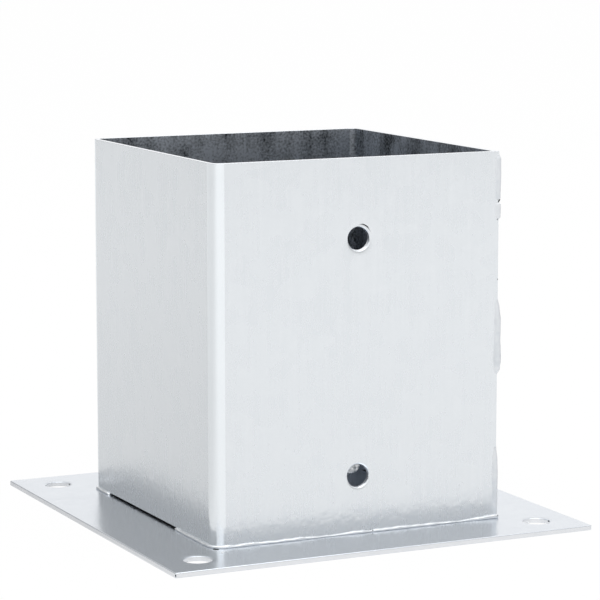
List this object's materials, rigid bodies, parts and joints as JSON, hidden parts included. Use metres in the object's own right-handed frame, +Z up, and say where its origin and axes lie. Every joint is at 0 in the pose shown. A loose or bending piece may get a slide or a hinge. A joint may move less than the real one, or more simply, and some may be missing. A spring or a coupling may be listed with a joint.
{
  "type": "timber post base",
  "caption": "Galvanised steel timber post base: square folded sleeve with through bolt holes, welded to a flat square plate with corner anchor holes.",
  "frame": {"origin": "middle of the base plate's underside, where the post base meets the ground", "axes": "+Z up out of the open sleeve, Y along the through bolts with the front wall facing -Y, welded seam at the +X, -Y corner"},
  "size_m": [0.18, 0.18, 0.15],
  "materials": {
    "galvanised_sheet": "zinc-coated mild steel sheet, semi-bright, fine spangle",
    "galvanised_plate": "zinc-coated mild steel plate, semi-bright, cool grey",
    "galvanised_weld": "weld bead under zinc, bright and uneven"
  },
  "bodies": {
    "root": {"base_plate": "galvanised_plate", "post_sleeve": "galvanised_sheet", "foot_weld_front": "galvanised_weld", "foot_weld_rear": "galvanised_weld", "seam_weld_top": "galvanised_weld", "seam_weld_upper": "galvanised_weld", "seam_weld_middle": "galvanised_weld", "seam_weld_bottom": "galvanised_weld"}
  },
  "joints": []
}
